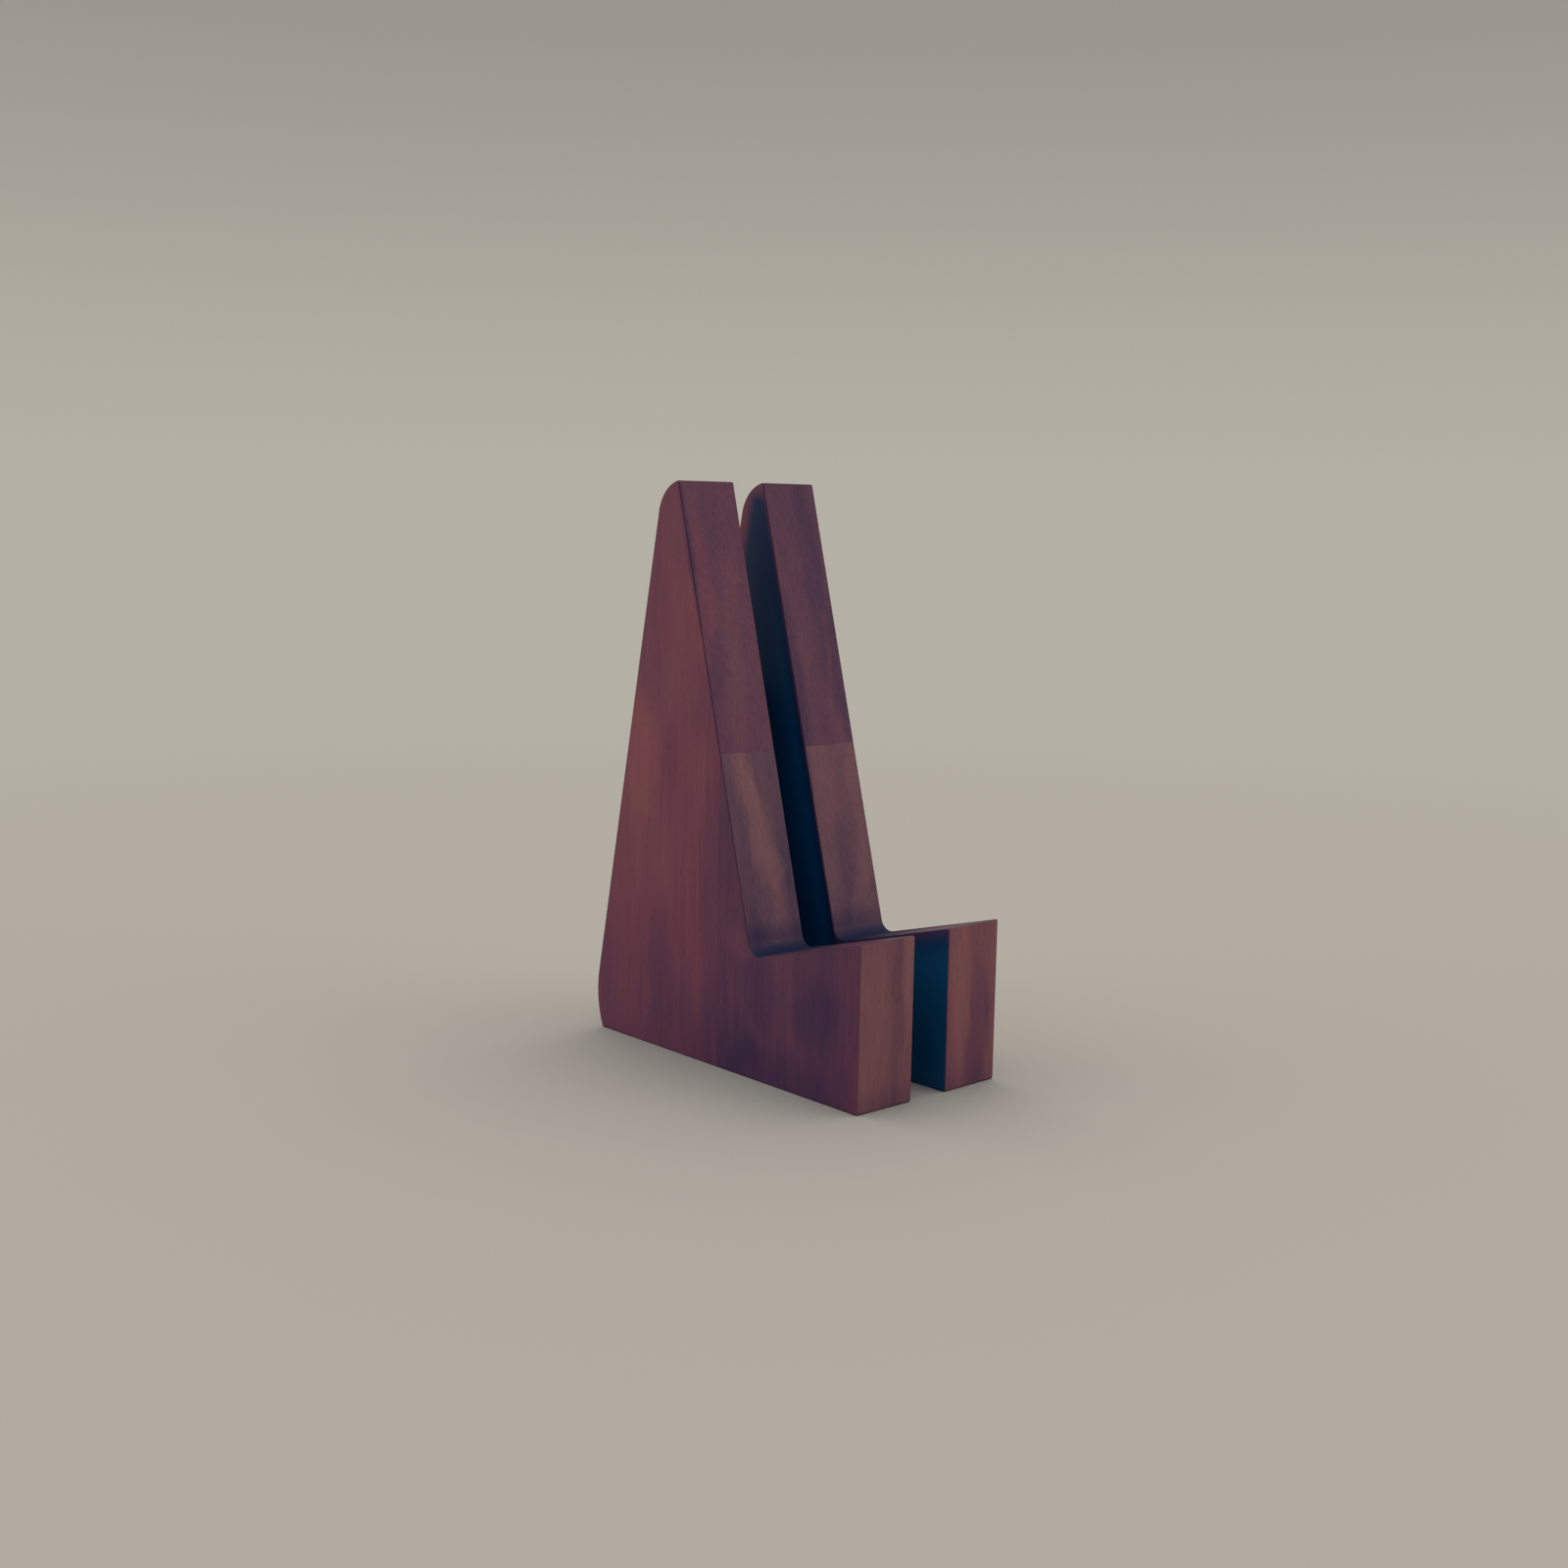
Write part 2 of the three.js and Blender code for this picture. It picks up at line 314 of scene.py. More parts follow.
def paintCornerShade(tree, place, upward):
    # oil gathers in the inner corner, where the face is level enough to hold it
    fromCorner = addNode(tree, "ShaderNodeMapping", {
        "vector_type": "TEXTURE", "Location": (0, *innerCorner), "Scale": mahogany["cornerShadeReach"],
    }, {"Vector": place})
    ball = addNode(tree, "ShaderNodeTexGradient", {"gradient_type": "SPHERICAL"}, {"Vector": fromCorner})
    closeToCorner = addNode(tree, "ShaderNodeMapRange", {
        "interpolation_type": "SMOOTHSTEP",
    }, {"Value": ball.outputs["Fac"]})
    start, full = mahogany["cornerShadeLevel"]
    level = addNode(tree, "ShaderNodeMapRange", {"From Min": start, "From Max": full}, {"Value": upward})
    return addNode(tree, "ShaderNodeMath", {"operation": "MULTIPLY"}, {0: closeToCorner, 1: level})


def paintSlotShade(tree, place, color):
    # the cheek is the inner face, X = 0, and its painted shade thins out and turns darker towards its edges
    across = addNode(tree, "ShaderNodeSeparateXYZ", {}, {0: place}).outputs["X"]
    away = addNode(tree, "ShaderNodeMath", {"operation": "ABSOLUTE"}, {0: across})
    onCheek = addNode(tree, "ShaderNodeMath", {
        "operation": "LESS_THAN", 1: mahogany["cheekDepth"],
    }, {0: away})

    # the depth in from each edge: along its outward normal, the edge's offset less the point's own
    behindFace = mahogany["behindFace"] * ledgeForward
    edges = {
        "back": (backNormal, backReach),
        "top": (Vector((0, 1)), plate["height"]),
        "ledge": (backrestUp, innerCorner.dot(backrestUp)),
        "face": (behindFace, innerCorner.dot(behindFace)),
    }
    depths = {}
    for edge, (outward, offset) in edges.items():
        reached = addNode(tree, "ShaderNodeVectorMath", {
            "operation": "DOT_PRODUCT", 1: (0, outward.x, outward.y),
        }, {0: place}).outputs["Value"]
        depths[edge] = addNode(tree, "ShaderNodeMath", {"operation": "SUBTRACT", 0: offset}, {1: reached})
    depths["ledge"] = addNode(tree, "ShaderNodeMath", {
        "operation": "MAXIMUM",
    }, {0: depths["ledge"], 1: depths["face"]})

    shares = {}
    for spans in ("cheekFade", "cheekDeep"):
        shares[spans] = onCheek
        for edge, (start, full) in mahogany[spans].items():
            within = addNode(tree, "ShaderNodeMapRange", {
                "interpolation_type": "SMOOTHSTEP", "From Min": start, "From Max": full,
            }, {"Value": depths[edge]})
            shares[spans] = addNode(tree, "ShaderNodeMath", {
                "operation": "MULTIPLY",
            }, {0: shares[spans], 1: within})
    slotShadeTones = mahogany["paintedSlotShade"]
    slotShadeColor = addNode(tree, "ShaderNodeMix", {
        "data_type": "RGBA", mixFrom: linearColor(slotShadeTones["near"]), mixTo: linearColor(slotShadeTones["deep"]),
    }, {0: shares["cheekDeep"]}).outputs[mixResult]
    return addNode(tree, "ShaderNodeMix", {
        "data_type": "RGBA",
    }, {0: shares["cheekFade"], mixFrom: color, mixTo: slotShadeColor}).outputs[mixResult]


def makeMahogany(name, board):
    # red-brown timber, planed, sanded and oiled: to the eye a satin skin with fine upright streaks,
    # soft ribbons that darken and redden across the board, and short dark pores
    material, tree = newMaterial(name)
    position = addNode(tree, "ShaderNodeTexCoord").outputs["Object"]
    place = addNode(tree, "ShaderNodeVectorMath", {"operation": "SCALE", "Scale": 1 / mm}, {0: position})
    inLog, grain, rings = growGrain(tree, board, place)

    ownNormal = addNode(tree, "ShaderNodeTexCoord").outputs["Normal"]
    facing = addNode(tree, "ShaderNodeSeparateXYZ", {}, {0: ownNormal}).outputs
    onBack = addNode(tree, "ShaderNodeMath", {"operation": "MAXIMUM", 1: 0.0}, {0: facing["Y"]})
    look = lookOfFaces(tree, board, facing, onBack)
    shades = layPatterns(tree, board, grain, rings, look)
    layClouds(tree, board, place, inLog, facing, look)
    color = colorOfWood(tree, look, onBack)

    # over the wood's own colour: its vessels and its end grain, then painted shade in the inner corner and
    # along the arrises
    normal = addNode(tree, "ShaderNodeNewGeometry").outputs["Normal"]
    rising = addNode(tree, "ShaderNodeSeparateXYZ", {}, {0: normal}).outputs["Z"]
    upward = addNode(tree, "ShaderNodeMath", {"operation": "ABSOLUTE"}, {0: rising})
    pore = openPores(tree, grain)
    # the inner corner's painted shade, which also makes the corner rougher
    oiled = paintCornerShade(tree, place, upward)
    arris = addNode(tree, "ShaderNodeAttribute", {"attribute_name": "arris"}).outputs["Fac"]
    line = addNode(tree, "ShaderNodeMath", {"operation": "MULTIPLY", 1: mahogany["arrisShare"]}, {0: arris})
    covers = {"pore": pore, "endGrain": drinkOil(tree, upward), "cornerOil": oiled, "arris": line}
    for cover, share in covers.items():
        color = addNode(tree, "ShaderNodeMix", {
            "data_type": "RGBA", mixTo: linearColor(mahogany[cover]),
        }, {0: share, mixFrom: color}).outputs[mixResult]
    # painted shade: blue-black on the cheeks inside the slot
    if board["slotShadePainted"]:
        color = paintSlotShade(tree, place, color)

    rough = addNode(tree, "ShaderNodeMath", {
        "operation": "MULTIPLY_ADD", 1: mahogany["rougher"]["pores"], 2: mahogany["roughness"],
    }, {0: pore})
    for cover, share in {"fibres": shades["fibres"], "cornerOil": oiled}.items():
        rough = addNode(tree, "ShaderNodeMath", {
            "operation": "MULTIPLY_ADD", 1: mahogany["rougher"][cover],
        }, {0: share, 2: rough})
    raised = addNode(tree, "ShaderNodeMath", {
        "operation": "ADD",
    }, {0: shades["fibres"], 1: shades["strands"]})
    relief = addNode(tree, "ShaderNodeMath", {"operation": "SUBTRACT"}, {0: raised, 1: pore})
    bump = addNode(tree, "ShaderNodeBump", {
        "Strength": mahogany["bumpStrength"], "Distance": mahogany["bumpHeight"] * mm,
    }, {"Height": relief})
    shader = addNode(tree, "ShaderNodeBsdfPrincipled", {
        "IOR": mahogany["ior"], "Specular IOR Level": mahogany["specularLevel"],
    }, {"Base Color": color, "Roughness": rough, "Normal": bump})
    addNode(tree, "ShaderNodeOutputMaterial", {}, {"Surface": shader})
    return material


# Each board: which way its plate lies from the slot, its tone and warmth by face, where in the log it was cut
# and where the log's heart lies, how strong each pattern shows, and its clouds and streaks. These lie in the
# plate's own frame, X from its inner face, Y depth, Z height, and their turns are in degrees. Sharp ones
# don't fray, and offSide ones leave the side face alone
boards = {
    "left_front_stave": {
        "outward": -1, "front": True, "slotShadePainted": True, "slot": "mahogany_front",
        "tone": {"side": 0.3, "front": 0.72, "back": 0.3},
        "warmth": {"side": 0.15, "front": 1.0, "back": 0.15},
        "cutFrom": (310.0, 90.0, 40.0), "heart": (250.0, 190.0, 0.0),
        "weights": {"layers": 0.15, "ribbons": 0.15, "fibres": 0.4, "strands": 0.12, "blotches": 0.22},
        "clouds": [
            # inner corner and backrest
            # painted shade: the next two darken the inner corner and the backrest above it
            {"centre": (-16, 69, 53), "reach": (90, 17, 17), "tone": -0.36, "offSide": True, "sharp": True},
            {"centre": (-16, 82, 100), "reach": (80, 36, 85), "tone": -0.26, "offSide": True},
            {"centre": (-17, 79, 108), "reach": (9, 60, 62), "turn": (0, -7, 0), "tone": 0.28},
            {"centre": (-19.5, 85, 130), "reach": (10, 20, 24), "tone": 0.08},
            {"centre": (-12, 72, 61), "reach": (10, 20, 12), "tone": 0.1},
            {"centre": (-31, 72, 60), "reach": (8, 20, 12), "tone": 0.09},
            {"centre": (-26, 70, 67), "reach": (9, 12, 14), "tone": -0.12},
            # painted shade: darker beside the slot
            {"centre": (-1, 74, 84), "reach": (9, 30, 44), "tone": -0.1},
            {"centre": (-9, 76, 87), "reach": (8, 20, 20), "tone": -0.08},
            # side
            {"centre": (-31, 76, 13), "reach": (12, 20, 20), "tone": -0.14},
            {"centre": (-31, 60, 40), "reach": (12, 10, 26), "tone": -0.09},
            {"centre": (-31, 24, 36), "reach": (12, 20, 24), "turn": (30, 0, 0), "tone": -0.16},
            {"centre": (-31, 50, 2), "reach": (12, 55, 22), "tone": -0.16},
            # foot's front
            # painted light: the foot's front more violet, for the cool light from the floor in front
            {"centre": (-16, 0, 35), "reach": (60, 10, 90), "warmth": -0.2},
            {"centre": (-9, 0, 35), "reach": (4.6, 20, 80), "tone": -0.12},
            {"centre": (-1, 0, 62), "reach": (8, 20, 54), "tone": 0.15},
            # painted shade: darker along the foot's base, next to the floor
            {"centre": (-16, 0, -2), "reach": (60, 20, 15), "tone": -0.15, "offSide": True, "sharp": True},
            {"centre": (-21, 0, 45), "reach": (12, 8, 60), "tone": 0.06},
        ],
    },
    "left_rear_stave": {
        "outward": -1, "front": False, "slotShadePainted": True, "slot": "mahogany_rear",
        "tone": {"side": 0.57, "front": 0.45, "back": 0.46},
        "warmth": {"side": 0.1, "front": 0.45, "back": 0.4},
        "cutFrom": (20.0, 400.0, 700.0), "heart": (-60.0, 330.0, 0.0),
        "weights": {"layers": 0.15, "ribbons": 0.12, "fibres": 0.4, "strands": 0.12, "blotches": 0.2},
        "clouds": [
            # side
            {"centre": (-31, 146, 134), "reach": (12, 18, 44), "tone": 0.2},
            {"centre": (-31, 152, 60), "reach": (12, 12, 80), "tone": 0.08},
            # painted shade: a thin dark line on the side along the backrest's front arris
            {
                "centre": (-31, 111.6, 225), "reach": (3.5, 3.5, 50), "turn": (-14.6, 0, 0),
                "tone": -0.2, "sharp": True,
            },
            {"centre": (-31, 130, 196), "reach": (10, 12, 34), "tone": -0.05},
            {"centre": (-31, 123, 132), "reach": (10, 11, 30), "tone": -0.08},
            {"centre": (-31, 130, 30), "reach": (12, 14, 52), "tone": -0.1, "warmth": -0.3},
            {"centre": (-31, 88, 68), "reach": (20, 22, 92), "tone": -0.17},
            # painted shade: darker and redder towards the floor
            {"centre": (-16, 130, -30), "reach": (200, 200, 125), "tone": -0.18, "warmth": -0.4},
            {"centre": (-31, 116, 60), "reach": (4, 0.8, 70), "tone": 0.08, "sharp": True},
            {"centre": (-31, 110, 70), "reach": (4, 0.6, 70), "tone": 0.07, "sharp": True},
            {"centre": (-31, 103.5, 78), "reach": (4, 1.0, 60), "tone": 0.1, "sharp": True},
            {"centre": (-31, 100.4, 72), "reach": (4, 0.7, 50), "tone": 0.08, "sharp": True},
            {"centre": (-31, 100, 2), "reach": (12, 11, 34), "tone": -0.12},
            # backrest
            {
                "centre": (-27, 107, 208), "reach": (7, 40, 50), "turn": (0, 8, 0),
                "tone": 0.07, "warmth": -0.3,
            },
            {"centre": (-17, 112, 236), "reach": (7, 40, 44), "turn": (0, 8, 0), "tone": -0.06},
            {"centre": (-14, 99, 182), "reach": (7, 60, 80), "turn": (0, 8, 0), "tone": 0.08},
            {"centre": (-28, 94, 165), "reach": (6, 30, 40), "turn": (0, 8, 0), "tone": -0.1},
        ],
    },
    "right_front_stave": {
        "outward": 1, "front": True, "slotShadePainted": True, "slot": "mahogany_front",
        "tone": {"side": 0.32, "front": 0.75, "back": 0.32},
        "warmth": {"side": 0.15, "front": 0.9, "back": 0.15},
        "cutFrom": (720.0, 60.0, 900.0), "heart": (620.0, 150.0, 0.0),
        "weights": {"layers": 0.15, "ribbons": 0.15, "fibres": 0.4, "strands": 0.12, "blotches": 0.16},
        "clouds": [
            # inner corner and backrest
            # painted shade: the next two darken the inner corner and the backrest above it
            {"centre": (16, 69, 53), "reach": (90, 18, 18), "tone": -0.36, "offSide": True, "sharp": True},
            {"centre": (16, 82, 100), "reach": (80, 36, 85), "tone": -0.15, "offSide": True},
            {"centre": (12.5, 77, 79), "reach": (8, 60, 42), "turn": (0, 8.5, 0), "tone": -0.13},
            {"centre": (9, 85, 125), "reach": (8, 30, 40), "tone": 0.06},
            {"centre": (0, 90, 128), "reach": (6, 20, 30), "tone": -0.15},
            {"centre": (33, 74, 66), "reach": (8, 20, 20), "tone": -0.18},
            {"centre": (0, 75, 66), "reach": (11, 20, 16), "tone": -0.08},
            {"centre": (27, 80, 105), "reach": (7, 40, 60), "turn": (0, 4, 0), "tone": 0.1},
            # foot's front
            # painted light: the foot's front a little darker and more violet, for the cool light from the
            # floor in front
            {"centre": (16, 0, 35), "reach": (60, 10, 90), "tone": -0.05, "warmth": -0.3},
            {"centre": (8, 0, 56), "reach": (12, 12, 70), "tone": 0.12},
            {"centre": (20.5, 0, 22), "reach": (8, 20, 52), "tone": -0.24, "warmth": -0.2},
            {"centre": (31, 0, 40), "reach": (6, 20, 60), "tone": 0.06},
            # painted shade: darker along the foot's base, next to the floor
            {"centre": (16, 0, -2), "reach": (60, 20, 15), "tone": -0.1, "offSide": True, "sharp": True},
            {"centre": (1, 0, 16), "reach": (7, 20, 30), "tone": -0.1, "sharp": True},
        ],
    },
    "right_rear_stave": {
        "outward": 1, "front": False, "slotShadePainted": True, "slot": "mahogany_rear",
        "tone": {"side": 0.53, "front": 0.42, "back": 0.45},
        "warmth": {"side": 0.1, "front": 0.5, "back": 0.4},
        "cutFrom": (150.0, 820.0, 1300.0), "heart": (70.0, 760.0, 0.0),
        "weights": {"layers": 0.15, "ribbons": 0.15, "fibres": 0.4, "strands": 0.12, "blotches": 0.2},
        "clouds": [
            {"centre": (22, 108, 220), "reach": (9, 60, 80), "turn": (0, 3, 0), "tone": -0.12},
            {"centre": (17, 95, 160), "reach": (8, 40, 45), "turn": (0, 8, 0), "tone": -0.03},
            {"centre": (0, 95, 166), "reach": (9, 40, 64), "tone": -0.2, "warmth": -0.2, "sharp": True},
            {"centre": (31, 95, 160), "reach": (7, 40, 66), "tone": -0.13},
            # painted shade: darker and redder towards the floor
            {"centre": (16, 130, -30), "reach": (200, 200, 112), "tone": -0.14, "warmth": -0.4},
        ],
    },
}


def arcPoints(centre, radius, fromAngle, toAngle):
    steps = plate["roundSteps"]
    angles = [fromAngle + (toAngle - fromAngle) * step / steps for step in range(steps + 1)]
    return [centre + radius * Vector((math.cos(a), math.sin(a))) for a in angles]


def easedCorner(corner, directionIn, directionOut):
    # a hand-sanded corner: leaves the edge that comes in, and joins the one that goes out
    reach, steps = plate["cornerReach"], plate["easeSteps"]
    start = corner - reach * directionIn
    end = corner + reach * directionOut
    ways = [step / steps for step in range(steps + 1)]
    return [(1 - t) ** 2 * start + 2 * t * (1 - t) * corner + t * t * end for t in ways]


def plateOutline():
    # (depth, height) points against the clock, and for each whether the edge after it is an eased corner's
    heelStart = -math.asin(plate["heelRise"] / plate["heelRound"])
    heelFloor = heelCentre + plate["heelRound"] * Vector((math.cos(heelStart), math.sin(heelStart)))
    heelUp = Vector((-math.sin(heelStart), math.cos(heelStart)))
    heelFrom = heelStart + plate["cornerReach"] / plate["heelRound"]
    topForward = Vector((-math.sin(topEnd), math.cos(topEnd)))
    topTo = topEnd - plate["cornerReach"] / plate["topRound"]
    filletCentre = innerCorner + plate["innerFillet"] * (backrestUp + ledgeForward)
    down, back = Vector((0, -1)), Vector((1, 0))
    stretches = [
        (True, easedCorner(Vector((0, 0)), down, back)),
        (True, easedCorner(heelFloor, back, heelUp)),
        (False, arcPoints(heelCentre, plate["heelRound"], heelFrom, backLean)[1:]),
        (False, arcPoints(topCentre, plate["topRound"], backLean, topTo)[:-1]),
        (True, easedCorner(topFront, topForward, -backrestUp)),
        (False, arcPoints(filletCentre, plate["innerFillet"], -lean, -lean - math.pi / 2)),
        (True, easedCorner(ledgeFront, ledgeForward, down)),
    ]
    points, eased = [], []
    for isCorner, stretch in stretches:
        points += stretch
        eased += [isCorner] * (len(stretch) - 1) + [False]
    return points, eased


def insetOutline(points, distance):
    # every point moved into the plate, square to its two edges
    moved = []
    for i, point in enumerate(points):
        before = (point - points[i - 1]).normalized()
        after = (points[(i + 1) % len(points)] - point).normalized()
        inward = Vector((-before.y - after.y, before.x + after.x)).normalized()
        moved.append(point + inward * (distance / inward.dot(Vector((-before.y, before.x)))))
    return moved


def plateBody(outward):
    # the whole plate in its own frame: inner face at X = 0, and outwards from there towards -X or X
    outline, eased = plateOutline()
    radius, steps = plate["arrisRadius"], plate["easeSteps"]
    quarter = [math.pi / 2 * step / steps for step in range(steps + 1)]
    sections = [(radius * (1 - math.cos(a)), radius * (1 - math.sin(a))) for a in quarter]
    sections += [(plate["thickness"] - across, inset) for across, inset in reversed(sections)]
    body = bmesh.new()
    arris = body.faces.layers.float.new("arris")
    rings = []
    for across, inset in sections:
        x = across if outward > 0 else across - plate["thickness"]
        rings.append([body.verts.new((x * mm, p.x * mm, p.y * mm)) for p in insetOutline(outline, inset)])
    # the material paints a line of shade on what is marked here: the arrises, the eased corners, and not the
    # faces between
    for k in range(len(rings) - 1):
        for i in range(len(outline)):
            j = (i + 1) % len(outline)
            face = body.faces.new((rings[k][i], rings[k + 1][i], rings[k + 1][j], rings[k][j]))
            onArris = k != steps or eased[i]
            faint = eased[i] or i == len(outline) - 1
            share = mahogany["crossArrisShare"] if faint else 1.0
            face[arris] = share if onArris else 0.0
            face.smooth = True
    body.faces.new(rings[0])
    body.faces.new(rings[-1])
    bmesh.ops.recalc_face_normals(body, faces=body.faces)
    return body


def makeStave(name, board):
    # one board of a plate: the body cut at the glue line
    body = plateBody(board["outward"])
    halfGlue = plate["glueLine"] / 2
    cutDepth = plate["seamDepth"] - halfGlue if board["front"] else plate["seamDepth"] + halfGlue
    cut = bmesh.ops.bisect_plane(
        body, geom=body.verts[:] + body.edges[:] + body.faces[:], plane_co=(0, cutDepth * mm, 0),
        plane_no=(0, 1, 0), clear_outer=board["front"], clear_inner=not board["front"])
    rim = [edge for edge in cut["geom_cut"] if isinstance(edge, bmesh.types.BMEdge)]
    bmesh.ops.edgeloop_fill(body, edges=rim)
    for edge in rim:
        edge.smooth = False
    bmesh.ops.recalc_face_normals(body, faces=body.faces)
    stave = newObject(name + "_board", body)
    stave.data.materials.append(makeMahogany("mahogany_oiled_" + name, board))
    evenFaces = stave.modifiers.new("even faces", "WEIGHTED_NORMAL")
    evenFaces.weight = plate["faceWeight"]
    evenFaces.keep_sharp = True
    stave.location = (board["outward"] * plate["slotWidth"] / 2 * mm, assemblyShift * mm, 0)
    stave.rotation_euler = (0, 0, board["outward"] * toeIn)
    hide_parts(name)
    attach(stave, "root")


for name, board in boards.items():
    makeStave(name, board)
print("staves: four mahogany boards")

# Spine between the plates and glued to both, parallel to their back edges, a little in from them
spine = {
    "thickness": 18,
    "length": 152,
    "setIn": 8,  # from the plates' back edges
    "lift": 14,  # height of its lower end
    "glueLine": 0.05,
    "arris": 0.8,
    "arrisSteps": 3,
    "arrisProfile": 0.5,  # round
    "slotShadePainted": False,
    "tone": {"side": 0.42, "front": 0.42, "back": 0.42},
    "warmth": {"side": 0.6, "front": 0.6, "back": 0.6},
    "cutFrom": (500.0, 300.0, 200.0),
    "heart": (400.0, 380.0, 0.0),
    "weights": {"layers": 0.2, "ribbons": 0.2, "fibres": 0.35, "strands": 0.2, "blotches": 0.2},
    "clouds": [],
}


def makeSpine():
    # a bar whose two cheeks follow the plates' toe-in, in its own frame: Y through it, Z along it
    reach = backReach - spine["setIn"] - spine["thickness"] / 2
    middle = spine["length"] / 2 + (spine["lift"] - reach * backNormal.y) / backUp.y
    centre = backNormal * reach + backUp * middle
    body = bmesh.new()
    ends = {}
    for side in (-1, 1):
        for face in (-1, 1):
            for end in (-1, 1):
                through = face * spine["thickness"] / 2
                along = end * spine["length"] / 2
                depth = centre.x + through * backNormal.x + along * backUp.x
                half = plate["slotWidth"] / 2 - depth * math.tan(toeIn) - spine["glueLine"]
                ends[side, face, end] = body.verts.new((side * half * mm, through * mm, along * mm))
    corners = ((-1, -1), (1, -1), (1, 1), (-1, 1))
    for one in (-1, 1):
        body.faces.new([ends[a, one, b] for a, b in corners])
        body.faces.new([ends[a, b, one] for a, b in corners])
        body.faces.new([ends[one, a, b] for a, b in corners])
    bmesh.ops.recalc_face_normals(body, faces=body.faces)
    bmesh.ops.bevel(
        body, geom=body.edges[:], offset=spine["arris"] * mm, segments=spine["arrisSteps"],
        profile=spine["arrisProfile"], affect="EDGES")
    bar = newObject("spine_bar", body)
    bar.data.materials.append(makeMahogany("mahogany_sawn_spine", spine))
    bar.location = (0, (centre.x + assemblyShift) * mm, centre.y * mm)
    bar.rotation_euler = (backLean, 0, 0)
    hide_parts("spine")
    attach(bar, "root")


makeSpine()
print("spine: one mahogany bar")

# Dowels keep their CAD shapes, hidden in the bores
beech = {
    "light": "#c9a27a",
    "dark": "#b08560",
    "fleckWidth": 0.6,  # rays of 0.1 mm: coarser, to show
    "fleckLength": 4,
    "fleckDetail": 2.0,
    "roughness": 0.65,
    "bumpStrength": 0.3,
    "bumpHeight": 0.05,
}


def makeBeech():
    # beech, turned and left raw: to the eye pale and even, with short fine flecks along it
    material, tree = newMaterial("beech_turned_raw")
    position = addNode(tree, "ShaderNodeTexCoord").outputs["Object"]
    long, wide = 1 / (beech["fleckLength"] * mm), 1 / (beech["fleckWidth"] * mm)
    flecks = addNode(tree, "ShaderNodeMapping", {"Scale": (long, wide, wide)}, {"Vector": position})
    fleck = addNode(tree, "ShaderNodeTexNoise", {
        "Scale": 1.0, "Detail": beech["fleckDetail"],
    }, {"Vector": flecks})
    color = addNode(tree, "ShaderNodeMix", {
        "data_type": "RGBA", mixFrom: linearColor(beech["dark"]), mixTo: linearColor(beech["light"]),
    }, {0: fleck}).outputs[mixResult]
    bump = addNode(tree, "ShaderNodeBump", {
        "Strength": beech["bumpStrength"], "Distance": beech["bumpHeight"] * mm,
    }, {"Height": fleck})
    shader = addNode(tree, "ShaderNodeBsdfPrincipled", {
        "Roughness": beech["roughness"],
    }, {"Base Color": color, "Normal": bump})
    addNode(tree, "ShaderNodeOutputMaterial", {}, {"Surface": shader})
    return material


rawBeech = makeBeech()
for name in ("lower_dowel", "middle_dowel", "upper_dowel"):
    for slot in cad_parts[name].material_slots:
        slot.material = rawBeech
print("dowels: beech on three CAD nodes")

# Floor and backdrop: pale seamless paper. Near the stand it is plain matt paper with the stand's shadow,
# and farther off it turns to the one tone that the backdrop shows, so that no line parts the two
stage = {
    "radius": 6000,
    "sides": 96,
    "paper": "#949082",
    "backdropLow": "#b5b0a5",
    "backdropHigh": "#98938c",
    "gradientTop": 0.3,  # sine of the height at which the backdrop is darkest
    "fade": (450, 1500),  # from the middle, where the paper starts to turn and has turned
}


def seenRay(tree):
    # 1 for a ray that the eye follows, straight, in a gloss or through glass, and 0 for light on its way
    path = addNode(tree, "ShaderNodeLightPath").outputs
    direct = addNode(tree, "ShaderNodeMath", {
        "operation": "MAXIMUM",
    }, {0: path["Is Camera Ray"], 1: path["Is Glossy Ray"]})
    return addNode(tree, "ShaderNodeMath", {
        "operation": "MAXIMUM",
    }, {0: direct, 1: path["Is Transmission Ray"]})


def makePaper():
    # matt uncoated paper: to the eye an even ground that takes a soft shadow and shines nowhere
    material, tree = newMaterial("paper_matt_seamless")
    where = addNode(tree, "ShaderNodeNewGeometry").outputs["Position"]
    farness = addNode(tree, "ShaderNodeVectorMath", {"operation": "LENGTH"}, {0: where}).outputs["Value"]
    start, full = stage["fade"]
    turned = addNode(tree, "ShaderNodeMapRange", {
        "interpolation_type": "SMOOTHSTEP", "From Min": start * mm, "From Max": full * mm,
    }, {"Value": farness})
    share = addNode(tree, "ShaderNodeMath", {"operation": "MULTIPLY"}, {0: turned, 1: seenRay(tree)})
    matt = addNode(tree, "ShaderNodeBsdfDiffuse", {"Color": linearColor(stage["paper"])})
    glow = addNode(tree, "ShaderNodeEmission", {"Color": linearColor(stage["backdropLow"])})
    blend = addNode(tree, "ShaderNodeMixShader", {}, {0: share, 1: matt, 2: glow})
    addNode(tree, "ShaderNodeOutputMaterial", {}, {"Surface": blend})
    return material


disc = bmesh.new()
bmesh.ops.create_circle(
    disc, cap_ends=True, cap_tris=True, segments=stage["sides"], radius=stage["radius"] * mm)
ground = newObject("ground", disc)
ground.data.materials.append(makePaper())
print("stage: disc of paper")

# Light: a wide dome, dim and cool on the side where the photograph was taken from
light = {
    "dome": "#fbf8ff",
    "domeStrength": 1.98,
    "dim": "#1c3f78",
    "dimAzimuthDegrees": -43,
    "dimSpan": (0.15, 0.8),  # cosine from the dim direction where the dome starts to darken and is darkest
}


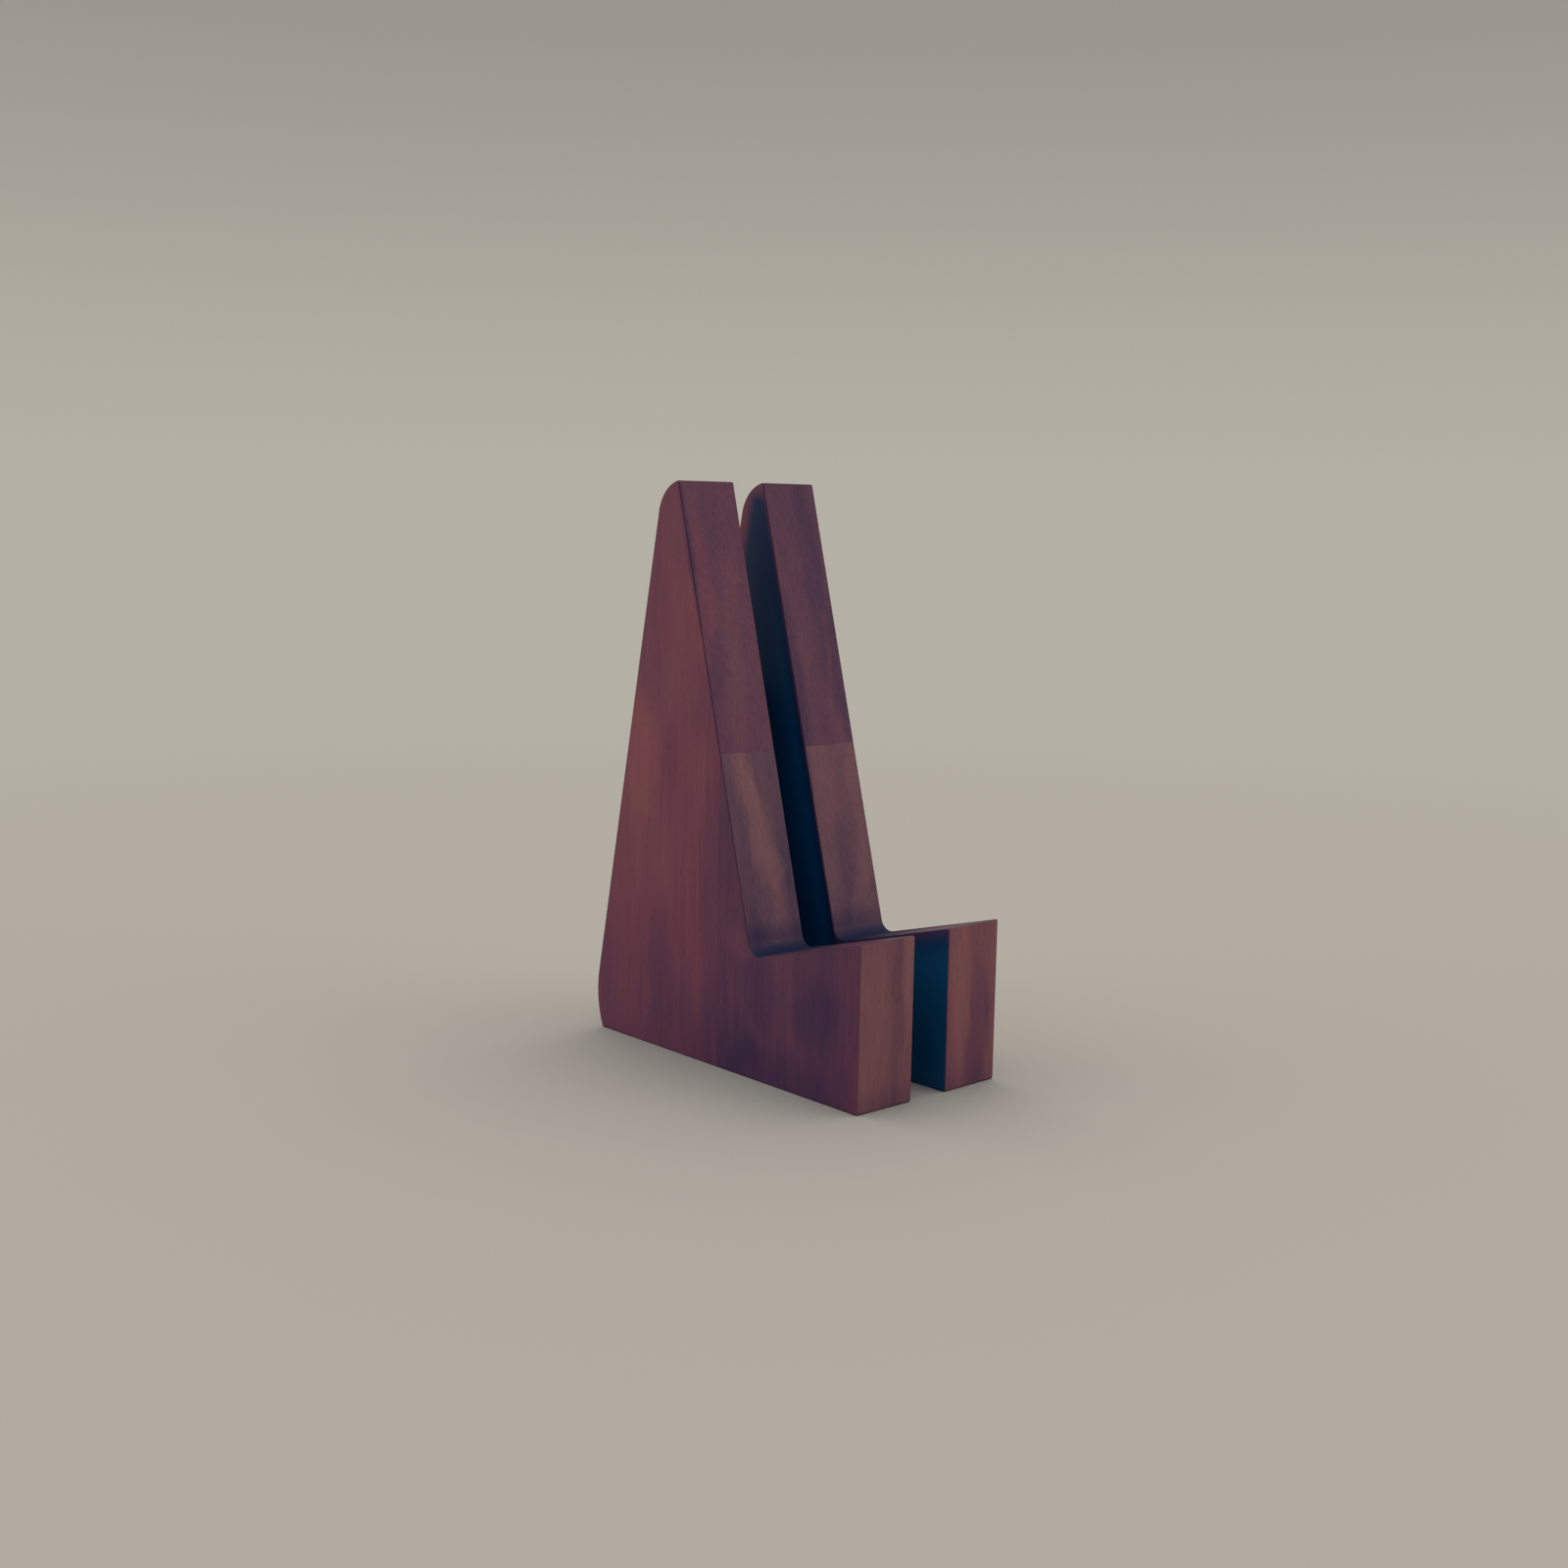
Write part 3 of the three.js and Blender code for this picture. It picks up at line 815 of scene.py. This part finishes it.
def makeDome():
    world = bpy.data.worlds.new("studio dome")
    world.use_nodes = True
    tree = world.node_tree
    tree.nodes.clear()
    direction = addNode(tree, "ShaderNodeTexCoord").outputs["Generated"]

    # what lights the stand
    dimTurn = math.radians(light["dimAzimuthDegrees"])
    towardsDim = addNode(tree, "ShaderNodeVectorMath", {
        "operation": "DOT_PRODUCT", 1: (math.sin(dimTurn), -math.cos(dimTurn), 0),
    }, {0: direction}).outputs["Value"]
    start, full = light["dimSpan"]
    dimness = addNode(tree, "ShaderNodeMapRange", {
        "interpolation_type": "SMOOTHSTEP", "From Min": start, "From Max": full,
    }, {"Value": towardsDim})
    domeColor = addNode(tree, "ShaderNodeMix", {
        "data_type": "RGBA", mixFrom: linearColor(light["dome"]), mixTo: linearColor(light["dim"]),
    }, {0: dimness}).outputs[mixResult]
    dome = addNode(tree, "ShaderNodeBackground", {"Strength": light["domeStrength"]}, {"Color": domeColor})

    # what the eye sees: the backdrop, and in a gloss the dim side too
    rise = addNode(tree, "ShaderNodeSeparateXYZ", {}, {0: direction}).outputs["Z"]
    risen = addNode(tree, "ShaderNodeMapRange", {
        "interpolation_type": "SMOOTHSTEP", "From Max": stage["gradientTop"],
    }, {"Value": rise})
    backdropColor = addNode(tree, "ShaderNodeMix", {
        "data_type": "RGBA",
        mixFrom: linearColor(stage["backdropLow"]), mixTo: linearColor(stage["backdropHigh"]),
    }, {0: risen}).outputs[mixResult]
    inGloss = addNode(tree, "ShaderNodeLightPath").outputs["Is Glossy Ray"]
    mirrored = addNode(tree, "ShaderNodeMath", {"operation": "MULTIPLY"}, {0: dimness, 1: inGloss})
    shown = addNode(tree, "ShaderNodeMix", {
        "data_type": "RGBA", mixTo: linearColor(light["dim"]),
    }, {0: mirrored, mixFrom: backdropColor}).outputs[mixResult]
    backdrop = addNode(tree, "ShaderNodeBackground", {}, {"Color": shown})
    blend = addNode(tree, "ShaderNodeMixShader", {}, {0: seenRay(tree), 1: dome, 2: backdrop})
    addNode(tree, "ShaderNodeOutputWorld", {}, {"Surface": blend})
    return world


bpy.context.scene.world = makeDome()
print("light: dome")

# Camera at the photograph's place, found from the straight edges of the stand
view = {
    "place": (-562.85, -610.83, 239.0),
    "azimuthDegrees": -42.4956,
    "downDegrees": 8.0295,
    "rollDegrees": 0.958,
    "focalPixels": 1932.7,
    "framePixels": 1600,
    "sensor": 36,
}


def makeCamera():
    optics = bpy.data.cameras.new("camera")
    optics.sensor_fit = "HORIZONTAL"
    optics.sensor_width = view["sensor"]
    optics.lens = view["focalPixels"] / view["framePixels"] * view["sensor"]
    azimuth = math.radians(view["azimuthDegrees"])
    down = math.radians(view["downDegrees"])
    backward = Vector((
        math.sin(azimuth) * math.cos(down),
        -math.cos(azimuth) * math.cos(down),
        math.sin(down),
    ))
    sideways = Vector((math.cos(azimuth), math.sin(azimuth), 0))
    axes = Matrix((sideways, backward.cross(sideways), backward)).transposed()
    roll = Matrix.Rotation(math.radians(view["rollDegrees"]), 3, "Z")
    camera = bpy.data.objects.new("camera", optics)
    bpy.context.scene.collection.objects.link(camera)
    camera.matrix_world = Matrix.Translation(Vector(view["place"]) * mm) @ (axes @ roll).to_4x4()
    return camera


bpy.context.scene.camera = makeCamera()
bpy.context.scene.view_settings.view_transform = "Standard"
print("camera: at the photograph's place")
